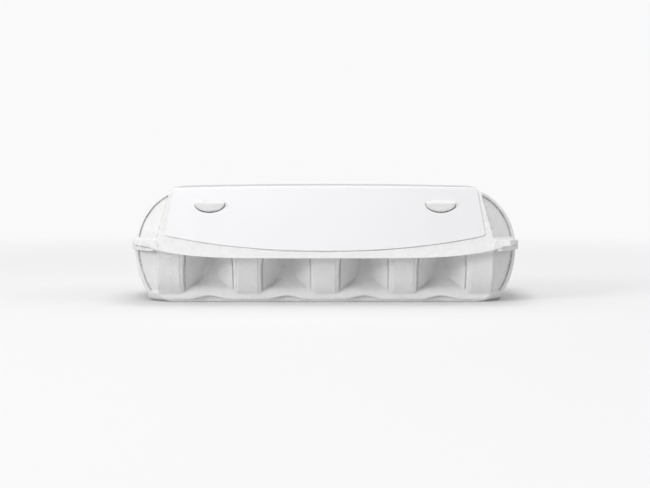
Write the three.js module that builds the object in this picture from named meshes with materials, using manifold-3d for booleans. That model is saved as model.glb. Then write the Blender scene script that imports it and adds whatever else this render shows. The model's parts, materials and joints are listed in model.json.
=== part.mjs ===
// Moulded pulp egg carton for ten eggs, closed, with a paper label round its lid.
// Millimetres, +Z up, length along X, front towards -Y, standing on the floor at z = 0.

import * as THREE from 'three';
import { mergeVertices } from 'three/addons/utils/BufferGeometryUtils.js';
import Module from 'manifold-3d';

const wasm = await Module();
wasm.setup();

// Driving dimensions of the whole carton
const cupsAlong = 5;
const cupsAcross = 2;
const cupPitch = 50;
const partingHeight = 36.5;
const lidRise = 38;
const pulpWall = 2;
const seatGap = 0.3;
const flangeReach = 2.5;
const flangeThickness = 2.8;
const overrun = 6;

// Cups
const cupFace = 15.3;
const endCupInset = 1.3;
const bowlReach = 17.7;
const ridgeReach = 16;
const notchDepth = 15;
const notchCloses = 9;
const notchFlareStart = 20;
const notchLip = 0.4;
const cupCornerRadius = 2.4;
const cupCornerRoomShare = 0.33;
const cupCornerSteps = 1;
const cupFloorFaceShare = 0.6;
const bowlSteps = 9;

// Ridges between the cups
const archHeight = 3;
const ridgeHeight = 17;
const ridgeClimb = 27;
const ridgeSteps = 4;

// Posts where four cups meet
const postRise = 4.5;
const postTopReach = 7;
const postTaper = 6;
const postFootReach = 21;
const postRoundShare = 1.25;
const postTopRadius = 3;
const postSides = 12;
const postSteps = 5;
const postTopSteps = 3;
const postCapOverlap = 6.5;

// Lid
const lidLean = THREE.MathUtils.degToRad(24);
const skirtClearance = 0.4;
const skirtDrop = 7.4;
const skirtHalfLength = 112;
const skirtCurveShare = 3.8;
const lidRidgeOverhang = 1.2;
const lidRidgeTaper = 8.8;
const lidEndRadius = 36.9;
const lidEndSeat = 0.4;
const lidEndRise = 0.9;
const crownDroop = 1.2;
const arcSteps = 12;
const curveSteps = 24;

// Lock flap and its two half-moon knobs
const flapThickness = 1.8;
const flapHalfLength = 93;
const flapTaper = 6;
const flapCornerRadius = 8;
const flapHeadroom = 4;
const knobSpacing = 148.8;
const knobWidth = 19.4;
const knobHeight = 6.6;
const knobTopCrown = 1.2;
const knobRise = 29.2;
const knobProud = 2.6;
const knobDraftShare = 0.82;
const slotClearance = 0.5;
const knobSteps = 12;

// Creases that act as hinges
const creaseRadius = 0.5;
const creaseSides = 8;
const rearCreaseHalfLength = 104;
const flapCreaseHalfLength = 88;

// Paper label
const labelThickness = 0.35;
const labelTopHalfLength = 98.1;
const labelFootHalfLength = 102.6;
const labelCornerRise = 7;
const labelMidDrop = 2.7;
const labelCurveShare = 2.17;
const labelCornerRadius = 3;
const labelRearRise = 7;

// Colours
const pulpColour = 0xe9e9e8;
const labelColour = 0xf7f6f9;

// Sizes that follow from the driving ones
const halfCup = cupPitch / 2;
const halfFace = cupFace / 2;
const endCupMiddle = (cupsAlong - 1) * halfCup;
const endCupReach = halfCup - endCupInset;
const halfLength = endCupMiddle + endCupReach;
const halfDepth = cupsAcross * halfCup;
const faceCorner = endCupMiddle + halfFace;
const cornerRun = halfLength - faceCorner;
const lidRidgeFoot = faceCorner + lidRidgeOverhang;
const totalHeight = partingHeight + lidRise;
const halfGap = seatGap / 2;
const trayRim = partingHeight - halfGap;
const lidFoot = partingHeight + halfGap;
const postHeight = partingHeight + postRise;
const postCapStart = partingHeight - postCapOverlap;
const leanSlope = Math.tan(lidLean);
const obliqueWall = pulpWall / Math.cos(lidLean);
const lidFrontFoot = halfDepth + skirtClearance + obliqueWall;
const labelStand = seatGap + labelThickness;
const labelCornerHeight = partingHeight + labelCornerRise;
const labelMidHeight = partingHeight - labelMidDrop;
const labelRearHeight = partingHeight + labelRearRise;
const rearCreaseOffset = halfDepth + flangeReach + seatGap + creaseRadius;
const frontReach = lidFrontFoot + skirtDrop * leanSlope;
const rearReach = rearCreaseOffset + creaseRadius;
const flapInside = pulpWall + seatGap + flapThickness;
const flapMiddle = flapInside - flapThickness / 2;
const flapCreaseHeight = trayRim + seatGap + creaseRadius;
const flapFootHeight = flapCreaseHeight + creaseRadius + seatGap;
const flapCreaseRise = (flapCreaseHeight - partingHeight) * leanSlope;
const flapCreaseY = flapMiddle / Math.cos(lidLean) + flapCreaseRise - lidFrontFoot;
const diagonal = Math.SQRT2;

// Turns stacked rings, each listed counterclockwise, into one closed skin
function loft(rings) {
  const positions = [];
  const index = [];
  const count = rings[0].length;
  for (const ring of rings) {
    for (const point of ring) {
      positions.push(point.x, point.y, point.z);
    }
  }
  for (let level = 0; level + 1 < rings.length; level += 1) {
    for (let side = 0; side < count; side += 1) {
      const next = (side + 1) % count;
      const low = level * count;
      const high = low + count;
      index.push(low + side, low + next, high + next);
      index.push(low + side, high + next, high + side);
    }
  }
  addCap(index, rings[0], 0, false);
  addCap(index, rings[rings.length - 1], (rings.length - 1) * count, true);
  const geometry = new THREE.BufferGeometry();
  geometry.setAttribute('position', new THREE.Float32BufferAttribute(positions, 3));
  geometry.setIndex(index);
  return geometry;
}

function addCap(index, ring, first, facesUp) {
  const flat = ring.map((point) => new THREE.Vector2(point.x, point.y));
  for (const [a, b, c] of THREE.ShapeUtils.triangulateShape(flat, [])) {
    const turnsLeft = THREE.ShapeUtils.area([flat[a], flat[b], flat[c]]) > 0;
    const corners = turnsLeft === facesUp ? [a, b, c] : [a, c, b];
    index.push(...corners.map((corner) => first + corner));
  }
}

// Places a flat outline at a height
function ringAt(outline, height) {
  return outline.map((point) => new THREE.Vector3(point.x, point.y, height));
}

// Rounds every corner of a closed outline with a short curve
function soften(outline, radius, roomShare, steps) {
  const softened = [];
  outline.forEach((corner, place) => {
    const before = outline[(place + outline.length - 1) % outline.length];
    const after = outline[(place + 1) % outline.length];
    const shortest = Math.min(corner.distanceTo(before), corner.distanceTo(after));
    const reach = Math.min(radius, shortest * roomShare);
    const start = corner.clone().add(before.clone().sub(corner).setLength(reach));
    const end = corner.clone().add(after.clone().sub(corner).setLength(reach));
    const bend = new THREE.QuadraticBezierCurve(start, corner, end);
    softened.push(...bend.getPoints(steps));
  });
  return softened;
}

// Solids for joining and cutting
function toSolid(geometry) {
  const bare = geometry.clone();
  bare.deleteAttribute('normal');
  bare.deleteAttribute('uv');
  const merged = mergeVertices(bare);
  return new wasm.Manifold(new wasm.Mesh({
    numProp: 3,
    vertProperties: new Float32Array(merged.attributes.position.array),
    triVerts: new Uint32Array(merged.index.array),
  }));
}

function toGeometry(solid) {
  const { vertProperties, triVerts } = solid.getMesh();
  const geometry = new THREE.BufferGeometry();
  geometry.setAttribute('position', new THREE.BufferAttribute(vertProperties, 3));
  geometry.setIndex(new THREE.BufferAttribute(triVerts, 1));
  geometry.computeVertexNormals();
  return geometry;
}

function join(solids) {
  return solids.reduce((joined, solid) => joined.add(solid));
}

// A prism over an outline in X and Y, from one height to another
function prism(outline, low, high) {
  return toSolid(loft([ringAt(outline, low), ringAt(outline, high)]));
}

// A prism over an outline in X and Z, from one depth to another
function depthPrism(outline, front, rear) {
  const geometry = loft([ringAt(outline, -rear), ringAt(outline, -front)]);
  geometry.rotateX(Math.PI / 2);
  return toSolid(geometry);
}

function rectangle(left, low, right, high) {
  return [
    new THREE.Vector2(left, low),
    new THREE.Vector2(right, low),
    new THREE.Vector2(right, high),
    new THREE.Vector2(left, high),
  ];
}

// How far a bowl wall has drawn in from the rim at a height
function drawnIn(height, reach) {
  const fall = (partingHeight - height) / partingHeight;
  const share = THREE.MathUtils.clamp(fall, 0, 1);
  return reach * (1 - Math.sqrt(1 - share * share));
}

// How far the back of a notch stands from the middle at a height
function notchBack(rim, height, inset) {
  const back = rim - notchDepth - inset;
  if (inset > 0) {
    return back;
  }
  const fall = (notchFlareStart - height) / (notchFlareStart - notchCloses);
  const share = THREE.MathUtils.clamp(fall, 0, 1);
  const lip = rim - drawnIn(notchCloses, bowlReach);
  return THREE.MathUtils.lerp(back, lip, share * share);
}

// One side of the tray in plan, as distances along it and out from the middle
function cupSide(count, rim, height, inset) {
  const drawn = drawnIn(height - inset, bowlReach) + inset;
  const out = rim - drawn;
  const face = Math.min(halfFace - inset * (diagonal - 1), (halfCup - drawn) * cupFloorFaceShare);
  const back = Math.min(notchBack(rim, height, inset), out - notchLip);
  const flank = out - back;
  const side = [];
  for (let cup = 0; cup < count; cup += 1) {
    const middle = (cup - (count - 1) / 2) * cupPitch;
    if (cup > 0) {
      side.push([middle - face - flank, back]);
    }
    side.push([middle - face, out]);
    side.push([middle + face, out]);
    if (cup + 1 < count) {
      side.push([middle + face + flank, back]);
    }
  }
  return side;
}

// The tray's whole outline in plan at a height, moved in by an inset
function trayOutline(height, inset) {
  const outline = [];
  const longSide = cupSide(cupsAlong, halfDepth, height, inset);
  const endSide = cupSide(cupsAcross, halfLength, height, inset);
  const shift = endCupReach - halfCup;
  endSide[0][0] += shift;
  endSide[endSide.length - 1][0] -= shift;
  longSide.forEach(([along, out]) => outline.push(new THREE.Vector2(along, -out)));
  endSide.forEach(([along, out]) => outline.push(new THREE.Vector2(out, along)));
  longSide.forEach(([along, out]) => outline.push(new THREE.Vector2(-along, out)));
  endSide.forEach(([along, out]) => outline.push(new THREE.Vector2(-out, -along)));
  return soften(outline, cupCornerRadius, cupCornerRoomShare, cupCornerSteps);
}

// The filled form of the tray, moved in and up by an inset
function trayForm(inset) {
  const rings = [];
  for (let step = 0; step <= bowlSteps; step += 1) {
    const turn = (step / bowlSteps) * Math.PI / 2;
    const height = partingHeight * (1 - Math.cos(turn)) + inset;
    rings.push(ringAt(trayOutline(height, inset), height));
  }
  return toSolid(loft(rings));
}

// How high a ridge between two cups stands, by its distance in from the rim
function ridgeTop(distance) {
  const share = THREE.MathUtils.smoothstep(distance, notchDepth, notchDepth + ridgeClimb);
  return THREE.MathUtils.lerp(archHeight, ridgeHeight, share);
}

// Section of the hollow under a ridge, grown by the wall for the side the eggs touch
function ridgeSection(top, growth) {
  const right = [new THREE.Vector2(ridgeReach + growth, -overrun)];
  for (let step = 0; step < ridgeSteps; step += 1) {
    const turn = (step / ridgeSteps) * Math.PI / 2;
    const height = top * Math.sin(turn);
    const reach = drawnIn(height, ridgeReach) + growth;
    right.push(new THREE.Vector2(reach * Math.cos(turn), height + growth));
  }
  const left = right.map((point) => new THREE.Vector2(-point.x, point.y)).reverse();
  return [...right, new THREE.Vector2(0, top + growth), ...left];
}

// The hollow under a ridge that runs right across the tray
function ridge(rim, growth) {
  const half = [rim + overrun];
  for (let step = 0; step <= ridgeSteps; step += 1) {
    half.push(rim - notchDepth - (step / ridgeSteps) * ridgeClimb);
  }
  const stations = [...half, ...half.map((place) => -place).reverse()].reverse();
  const rings = stations.map((place) => {
    const section = ridgeSection(ridgeTop(rim - Math.abs(place)), growth);
    return ringAt(section, place);
  });
  const geometry = loft(rings);
  geometry.rotateX(Math.PI / 2);
  return geometry;
}

// A post's outline in plan, between a circle and a diamond
function postOutline(reach) {
  const outline = [];
  for (let side = 0; side < postSides; side += 1) {
    const turn = (side / postSides) * 2 * Math.PI;
    const across = Math.abs(Math.cos(turn)) ** postRoundShare;
    const along = Math.abs(Math.sin(turn)) ** postRoundShare;
    const radius = reach / (across + along) ** (1 / postRoundShare);
    outline.push(new THREE.Vector2(radius * Math.cos(turn), radius * Math.sin(turn)));
  }
  return outline;
}

function postReach(height) {
  const share = THREE.MathUtils.clamp(1 - height / postHeight, 0, 1);
  const foot = postFootReach * (1 - Math.sqrt(1 - share * share));
  return postTopReach + postTaper * share + foot;
}

// The hollow under a post, grown by the wall for the side the eggs touch
function post(start, growth) {
  const shoulder = postHeight - postTopRadius;
  const rings = [];
  for (let step = 0; step <= postSteps; step += 1) {
    const share = step / postSteps;
    const height = THREE.MathUtils.lerp(start, shoulder, share);
    rings.push(ringAt(postOutline(postReach(height) + growth), height + growth));
  }
  for (let step = 1; step < postTopSteps; step += 1) {
    const turn = (step / postTopSteps) * Math.PI / 2;
    const reach = postReach(shoulder) - postTopRadius * (1 - Math.cos(turn)) + growth;
    rings.push(ringAt(postOutline(reach), shoulder + postTopRadius * Math.sin(turn) + growth));
  }
  const top = postReach(shoulder) - postTopRadius + growth;
  rings.push(ringAt(postOutline(top), postHeight + growth));
  if (start === 0) {
    rings.unshift(ringAt(postOutline(postReach(0) + growth), -overrun));
  }
  return loft(rings);
}

// Places a copy at every post or gap between cups along the tray
function alongGaps(geometry) {
  const solids = [];
  for (let gap = 1; gap < cupsAlong; gap += 1) {
    const copy = geometry.clone();
    copy.translate((gap - cupsAlong / 2) * cupPitch, 0, 0);
    solids.push(toSolid(copy));
  }
  return join(solids);
}

function underside(growth) {
  const lengthRidge = ridge(halfLength, growth);
  lengthRidge.rotateZ(Math.PI / 2);
  return join([
    alongGaps(ridge(halfDepth, growth)),
    toSolid(lengthRidge),
    alongGaps(post(0, growth)),
  ]);
}

// Outline of the flange, which starts at a place along the front and runs round ends and rear
function flangeOutline(frontStart) {
  const outX = halfLength + flangeReach;
  const outY = halfDepth + flangeReach;
  const frontSum = lidRidgeFoot + lidFrontFoot + flangeReach * diagonal;
  const rearSum = lidRidgeFoot + halfDepth + flangeReach * diagonal;
  const right = [
    new THREE.Vector2(frontStart, -halfDepth),
    new THREE.Vector2(frontStart, -lidFrontFoot),
    new THREE.Vector2(frontSum - lidFrontFoot, -lidFrontFoot),
    new THREE.Vector2(outX, outX - frontSum),
    new THREE.Vector2(outX, rearSum - outX),
    new THREE.Vector2(rearSum - outY, outY),
  ];
  return [...right, ...right.map((point) => new THREE.Vector2(-point.x, point.y)).reverse()];
}

function buildTray() {
  const plate = flangeOutline(lidRidgeFoot + 2 * seatGap);
  const flange = prism(plate, trayRim - flangeThickness, trayRim);
  const outside = trayForm(0).intersect(
    prism(rectangle(-halfLength, -halfDepth, halfLength, halfDepth), -overrun, trayRim),
  );
  const cavity = trayForm(pulpWall).subtract(underside(pulpWall));
  return join([outside, flange, alongGaps(post(postCapStart, pulpWall))])
    .subtract(underside(0))
    .subtract(cavity);
}

// Side view of the lid in X and Z, moved in by an inset
function lidProfile(inset) {
  const centreX = halfLength - lidEndSeat - lidEndRadius;
  const centreZ = partingHeight + lidEndRise;
  const radius = lidEndRadius - inset;
  const crownEnd = totalHeight - crownDroop - inset;
  const last = Math.asin(THREE.MathUtils.clamp((crownEnd - centreZ) / radius, 0, 1));
  const right = [new THREE.Vector2(centreX + radius, centreZ - lidRise)];
  for (let step = 0; step <= arcSteps; step += 1) {
    const turn = (step / arcSteps) * last;
    right.push(new THREE.Vector2(
      centreX + radius * Math.cos(turn),
      centreZ + radius * Math.sin(turn),
    ));
  }
  const edge = right[right.length - 1].x;
  const crown = [];
  for (let step = 1; step < arcSteps; step += 1) {
    const x = THREE.MathUtils.lerp(edge, -edge, step / arcSteps);
    const droop = crownDroop * (x / edge) ** 2;
    crown.push(new THREE.Vector2(x, totalHeight - droop - inset));
  }
  const left = right.map((point) => new THREE.Vector2(-point.x, point.y)).reverse();
  return [...right, ...crown, ...left];
}

// Lid in plan at a height: sloping long walls and corners cut at 45 degrees
function lidOutline(height, inset) {
  const rise = height - partingHeight;
  const oblique = inset / Math.cos(lidLean);
  const front = lidFrontFoot - rise * leanSlope - oblique;
  const rear = halfDepth - rise * leanSlope - oblique;
  const taper = lidRidgeTaper * (rise / lidRise);
  const ridgeX = lidRidgeFoot - taper - inset * (diagonal - 1);
  const run = cornerRun + overrun;
  const right = [
    new THREE.Vector2(ridgeX, -front),
    new THREE.Vector2(ridgeX + run, run - front),
    new THREE.Vector2(ridgeX + run, rear - run),
    new THREE.Vector2(ridgeX, rear),
  ];
  return [...right, ...right.map((point) => new THREE.Vector2(-point.x, point.y)).reverse()];
}

// The filled form of the lid, moved in by an inset
function lidForm(inset) {
  const low = partingHeight - lidRise / 2;
  const high = totalHeight + overrun;
  const walls = toSolid(loft([
    ringAt(lidOutline(low, inset), low),
    ringAt(lidOutline(high, inset), high),
  ]));
  return walls.intersect(depthPrism(lidProfile(inset), -halfLength, halfLength));
}

// Height of the skirt's curved lower edge
function skirtEdge(x) {
  const share = Math.abs(x) / skirtHalfLength;
  return partingHeight - skirtDrop * (1 - share ** skirtCurveShare);
}

function skirtOutline() {
  const end = lidRidgeFoot;
  const outline = [];
  for (let step = 0; step <= curveSteps; step += 1) {
    const x = THREE.MathUtils.lerp(-end, end, step / curveSteps);
    outline.push(new THREE.Vector2(x, skirtEdge(x)));
  }
  outline.push(new THREE.Vector2(end, lidFoot + overrun));
  outline.push(new THREE.Vector2(-end, lidFoot + overrun));
  return outline;
}

// Half-moon outline of a knob in the plane of the wall, grown by a clearance
function knobOutline(growth) {
  const halfWidth = knobWidth / 2 + growth;
  const drop = knobHeight - knobTopCrown + growth;
  const crown = knobTopCrown + growth;
  const outline = [];
  for (let step = 0; step < knobSteps; step += 1) {
    const turn = Math.PI * (1 + step / knobSteps);
    outline.push(new THREE.Vector2(halfWidth * Math.cos(turn), drop * Math.sin(turn)));
  }
  for (let step = 0; step < knobSteps; step += 1) {
    const turn = Math.PI * (step / knobSteps);
    outline.push(new THREE.Vector2(halfWidth * Math.cos(turn), crown * Math.sin(turn)));
  }
  return outline;
}

// Puts a geometry drawn on the front wall's plane onto that wall:
// its Y runs up the wall from the parting plane and its Z stands out from the wall
function onFrontWall(geometry) {
  const placed = geometry.clone();
  placed.rotateX(Math.PI / 2 - lidLean);
  placed.translate(0, -lidFrontFoot, partingHeight);
  return placed;
}

function atKnobs(outlineLow, outlineHigh, low, high) {
  const solids = [-1, 1].map((side) => {
    const geometry = loft([ringAt(outlineLow, low), ringAt(outlineHigh, high)]);
    geometry.translate(side * knobSpacing / 2, knobRise, 0);
    return toSolid(onFrontWall(geometry));
  });
  return join(solids);
}

function slots(growth) {
  const outline = knobOutline(growth);
  return atKnobs(outline, outline, -overrun, overrun);
}

function buildLid() {
  const flange = prism(flangeOutline(faceCorner), lidFoot, lidFoot + flangeThickness);
  const shell = lidForm(0).add(flange).subtract(lidForm(pulpWall));
  const reach = 2 * halfLength;
  const above = prism(rectangle(-reach, -reach, reach, reach), lidFoot, totalHeight + overrun);
  const skirt = depthPrism(skirtOutline(), -frontReach - overrun, -halfDepth);
  return shell.intersect(above.add(skirt)).subtract(slots(slotClearance));
}

// Flap outline on the wall's plane, with its two upper corners rounded
function flapOutline() {
  const foot = (flapFootHeight - partingHeight + flapInside * Math.sin(lidLean)) / Math.cos(lidLean);
  const top = (lidRise - flapHeadroom) / Math.cos(lidLean) - obliqueWall;
  const shoulder = flapHalfLength - flapTaper;
  const shape = new THREE.Shape();
  shape.moveTo(-flapHalfLength, foot);
  shape.lineTo(flapHalfLength, foot);
  shape.lineTo(shoulder, top - flapCornerRadius);
  shape.quadraticCurveTo(shoulder, top, shoulder - flapCornerRadius, top);
  shape.lineTo(flapCornerRadius - shoulder, top);
  shape.quadraticCurveTo(-shoulder, top, -shoulder, top - flapCornerRadius);
  shape.closePath();
  return shape.getPoints(arcSteps / 2).slice(0, -1);
}

function buildFlap() {
  const outline = flapOutline();
  const sheet = loft([ringAt(outline, -flapInside), ringAt(outline, flapThickness - flapInside)]);
  const foot = knobOutline(0);
  const face = foot.map((point) => point.clone().multiplyScalar(knobDraftShare));
  const knobs = atKnobs(foot, face, -flapMiddle, labelStand + knobProud);
  return toSolid(onFrontWall(sheet)).add(knobs);
}

// A crease as a slim rod along X, round the axis that its leaf turns about
function buildCrease(halfRun) {
  const outline = [];
  for (let side = 0; side < creaseSides; side += 1) {
    const turn = ((side + 1 / 2) / creaseSides) * 2 * Math.PI;
    outline.push(new THREE.Vector2(creaseRadius * Math.cos(turn), creaseRadius * Math.sin(turn)));
  }
  const geometry = loft([ringAt(outline, -halfRun), ringAt(outline, halfRun)]);
  geometry.rotateY(Math.PI / 2);
  return toSolid(geometry);
}

// Label outline in X and Z: the front has a curved lower edge
function labelFrontOutline() {
  const outline = [];
  const flat = labelFootHalfLength - labelCornerRadius;
  for (let step = 0; step <= curveSteps; step += 1) {
    const x = THREE.MathUtils.lerp(-flat, flat, step / curveSteps);
    const share = (Math.abs(x) / labelFootHalfLength) ** labelCurveShare;
    const height = THREE.MathUtils.lerp(labelMidHeight, labelCornerHeight, share);
    outline.push(new THREE.Vector2(x, height));
  }
  outline.push(new THREE.Vector2(labelFootHalfLength, labelCornerHeight + labelCornerRadius));
  outline.push(new THREE.Vector2(labelTopHalfLength, totalHeight + overrun));
  outline.push(new THREE.Vector2(-labelTopHalfLength, totalHeight + overrun));
  outline.push(new THREE.Vector2(-labelFootHalfLength, labelCornerHeight + labelCornerRadius));
  return outline;
}

function labelRearOutline() {
  return [
    new THREE.Vector2(-labelFootHalfLength, labelRearHeight),
    new THREE.Vector2(labelFootHalfLength, labelRearHeight),
    new THREE.Vector2(labelTopHalfLength, totalHeight + overrun),
    new THREE.Vector2(-labelTopHalfLength, totalHeight + overrun),
  ];
}

function buildLabel() {
  const wrap = lidForm(-labelStand).subtract(lidForm(-seatGap));
  const front = depthPrism(labelFrontOutline(), -frontReach - overrun, overrun);
  const rear = depthPrism(labelRearOutline(), -overrun, rearReach);
  return wrap.intersect(front.add(rear)).subtract(slots(2 * slotClearance));
}

// Materials
const pulp = new THREE.MeshStandardMaterial({ color: pulpColour, roughness: 0.92, metalness: 0 });
const paper = new THREE.MeshStandardMaterial({ color: labelColour, roughness: 0.38, metalness: 0 });

function piece(name, solid, material) {
  const mesh = new THREE.Mesh(toGeometry(solid), material);
  mesh.name = name;
  return mesh;
}

// Assembly
const carton = new THREE.Group();
carton.add(piece('tray', buildTray(), pulp));
carton.add(piece('lid', buildLid(), pulp));
carton.add(piece('lock_flap', buildFlap(), pulp));
carton.add(piece('label', buildLabel(), paper));

const rearCrease = piece('rear_crease', buildCrease(rearCreaseHalfLength), pulp);
rearCrease.position.set(0, rearCreaseOffset, partingHeight);
carton.add(rearCrease);

const flapCrease = piece('flap_crease', buildCrease(flapCreaseHalfLength), pulp);
flapCrease.position.set(0, flapCreaseY, flapCreaseHeight);
carton.add(flapCrease);

// The origin is midway between the skirt in front and the crease behind
const labelFront = lidFrontFoot + labelStand / Math.cos(lidLean);
carton.position.y = (Math.max(frontReach, labelFront) - rearReach) / 2;

export default carton;
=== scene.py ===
"""Closed moulded pulp egg carton for ten eggs, with a paper label wrapped over its lid."""

import json
import math

import bpy
import numpy as np
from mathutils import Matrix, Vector, noise


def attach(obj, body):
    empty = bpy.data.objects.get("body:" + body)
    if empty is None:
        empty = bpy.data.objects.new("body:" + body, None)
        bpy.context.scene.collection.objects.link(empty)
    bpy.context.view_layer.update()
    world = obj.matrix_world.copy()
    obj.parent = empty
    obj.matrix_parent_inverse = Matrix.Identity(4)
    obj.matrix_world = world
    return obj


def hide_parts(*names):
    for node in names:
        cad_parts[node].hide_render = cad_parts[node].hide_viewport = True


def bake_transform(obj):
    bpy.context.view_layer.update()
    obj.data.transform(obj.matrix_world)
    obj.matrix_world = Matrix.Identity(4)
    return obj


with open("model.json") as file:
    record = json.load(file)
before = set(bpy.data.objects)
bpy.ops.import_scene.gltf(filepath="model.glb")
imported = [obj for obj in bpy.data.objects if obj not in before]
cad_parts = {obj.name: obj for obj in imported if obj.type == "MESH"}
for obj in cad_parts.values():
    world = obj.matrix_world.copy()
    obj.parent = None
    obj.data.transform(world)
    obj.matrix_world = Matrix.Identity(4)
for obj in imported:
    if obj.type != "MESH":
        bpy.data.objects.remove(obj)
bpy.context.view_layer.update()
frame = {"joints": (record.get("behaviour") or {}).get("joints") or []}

# Sizes in millimetres, before the carton is centred front to back
MM = 0.001
CUP_PITCH = 50.0
CUPS_ALONG = 5
CUPS_ACROSS = 2
PARTING = 36.5
LID_RISE = 38.0
WALL = 2.0
SEAT_GAP = 0.3
FLANGE_REACH = 2.5
FLANGE_THICKNESS = 2.8

# Cups
CUP_FACE = 13.2
CUP_BAND = 2.3
CUP_BAND_WIDENING = 0.9
CUP_BAND_DEPTH = 0.9
PANEL_STEP = 1.1
EDGE_LINE_DEPTH = 0.35
GUTTER_DEPTH = 1.2
GUTTER_WIDTH = 0.45
END_CUP_REACH = 23.7
BOWL_REACH = 17.7
RIDGE_REACH = 16.0
SCOOP_HEIGHTS = (0.0, 3.0, 5.5, 8.6, 11.5, 14.5, 17.9, 24.3, 31.4, 37.0)
SCOOP_DEPTHS = (8.6, 8.1, 8.4, 9.9, 12.7, 14.9, 16.1, 17.0, 17.3, 17.4)
FLOOR_FACE_SHARE = 0.55
CUP_EDGE = 0.7
CORNER_FACE = 15.3
CUP_FOOT_EDGE = 1.2
SCOOP_SMOOTHING = 4
BAND_WIDENING_HEIGHTS = (20.0, 35.0)
LINE_HEIGHTS = (6.0, 9.0)
LINE_OFFSET = 0.3
PANEL_STEP_SPAN = (-0.1, 0.5)
EDGE_ZONE = 2.6
EDGE_ZONE_SHARE = 0.7
RIM_BAND_FOOT = 3.2
RIM_BAND_TOP = 2.0
RIM_BAND_START = 4.0
RIM_BAND_EDGE = 0.5
TRAY_PANEL_SIDE = (0.4, 0.9)
TRAY_PANEL_FOOT = (6.0, 7.5)
RIM_EDGE = 0.8

# Ridges and posts between the cups
ARCH_HEIGHT = 4.1
ARCH_HALF_WIDTH = 13.5
ARCH_RECESS = 2.0
ARCH_EDGE = 0.3
FOOT_LINE = 1.7
FOOT_RECESS = 0.7
MOUTH_HEIGHT = -1.5
MOUTH_REACH = 14.0
RIDGE_HEIGHT = 17.0
RIDGE_CLIMB = 24.0
RIDGE_EDGE = 7.0
POST_HEIGHT = 41.0
POST_TOP_REACH = 7.0
POST_TAPER = 6.0
POST_FOOT_REACH = 21.0
POST_ROUND = 1.25
POST_EDGE = 5.0
POST_ZONE = 20.0
HOLLOW_BLEND = 4.0
HOLLOW_EDGE = 2.0

# Flanges and the seam between them
FLANGE_EDGE = 0.3
TRAY_FLANGE_FILLET = 0.6
LID_FLANGE_FILLET = 2.0
FLANGE_CORNER = 10.6
CORNER_REACH = 118.6
CORNER_TURN = math.radians(17.6)
SEAM_DROP = 1.8
SEAM_START = 8.0
SEAM_WHOLE = 1.0

# Lid
LEAN = math.radians(24.0)
SKIRT_CLEARANCE = 0.4
SKIRT_DROP = 7.4
SKIRT_HALF_LENGTH = 116.0
SKIRT_CURVE = 5.0
RIDGE_OVERHANG = 1.2
RIDGE_TAPER = 8.8
END_RADIUS = 36.9
END_SEAT = 0.4
END_RISE = 0.9
CROWN_DROOP = 1.2
LID_EDGE = 1.8
RIDGE_LINE = 0.9
CORNER_PANEL_DEPTH = 1.1
CORNER_WEDGE = 0.9
CORNER_LEAN = 0.4
CORNER_LEAN_START = 1.0
WEDGE_DEPTHS = (28.0, 44.0)
WEDGE_LENGTHS = (-4.0, 3.0)
LID_PANEL_BORDER = (1.9, 2.4)
LID_PANEL_FOOT = (4.6, 5.6)
LID_PANEL_SIDE = (0.5, 1.0)
END_CROWN_SHARE = 0.231
SKIRT_EDGE = 0.3

# Lock flap and knobs
FLAP_THICKNESS = 1.8
FLAP_HALF_LENGTH = 93.0
FLAP_TAPER = 6.0
FLAP_CORNER = 8.0
FLAP_HEADROOM = 4.0
KNOB_SPACING = 148.8
KNOB_WIDTH = 19.4
KNOB_HEIGHT = 7.4
KNOB_CROWN = 2.0
KNOB_RISE = 29.2
KNOB_PROUD = 2.6
SLOT_CLEARANCE = 0.5
KNOB_SAG = 1.2
KNOB_TOP_PROUD = 1.8
KNOB_FOOT_PROUD = 0.4
KNOB_BROW = -0.8
KNOB_EDGE = 0.8
KNOB_BACK_EDGE = 0.5
KNOB_FILLET = 1.0
KNOB_HOLLOW_EDGE = 2.0
KNOB_HOLLOW_RIM = 0.8
KNOB_LEAST_HEIGHT = 0.5
KNOB_FIELD_LIMIT = 4.0
KNOB_ZONE = 11.0
FLAP_EDGE = 1.4
SLOT_REACH = 6.0
SLOT_EDGE = 0.6

# Creases
CREASE_RADIUS = 0.5
REAR_CREASE_HALF = 104.0
FLAP_CREASE_HALF = 88.0
CREASE_STEP = 1.5
REAR_CREASE_THICKNESS = 0.7
REAR_CREASE_ROWS = 19
FLAP_CREASE_THICKNESS = 0.8
FLAP_CREASE_ROWS = 13
LINE_SMOOTHING = 3

# Places and heights on the rear crease's line, and on the other one from its hinge's place
REAR_CREASE_LINE = (
    (52.0, 35.0),
    (53.5, 34.8),
    (54.1, 35.6),
    (53.3, 36.5),
    (54.1, 37.4),
    (53.5, 38.2),
    (52.0, 38.0),
)
FLAP_CREASE_LINE = (
    (-0.9, 34.6),
    (-0.5, 36.0),
    (0.0, 37.15),
    (0.7, 38.3),
    (1.2, 39.4),
)

# Paper label
LABEL_THICKNESS = 0.35
LABEL_TOP_HALF = 98.1
LABEL_FOOT_HALF = 102.6
LABEL_CORNER_HEIGHT = 43.5
LABEL_MID_HEIGHT = 33.8
LABEL_CURVE = 2.17
LABEL_CORNER = 1.8
LABEL_REAR_HEIGHT = 43.5
LABEL_FOLD = 1.6
LABEL_SLOT_DROP = 0.9
LABEL_COLUMNS = 221
LABEL_COLUMN_CROWDING = 1.3
LABEL_ROWS = 60
LABEL_ROW_CROWDING = 1.2
LABEL_CORNER_SPEED = 30.0
LABEL_FOLD_STEPS = 9
LABEL_TOP_ROWS = 50
CUTTER_POINTS = 72
CUTTER_SPAN = (-4.0, 5.0)

# Size and height of the pulp's unevenness, from coarse to fine
PULP_WAVES = ((14.0, 0.16), (4.0, 0.08), (1.6, 0.05))

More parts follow.
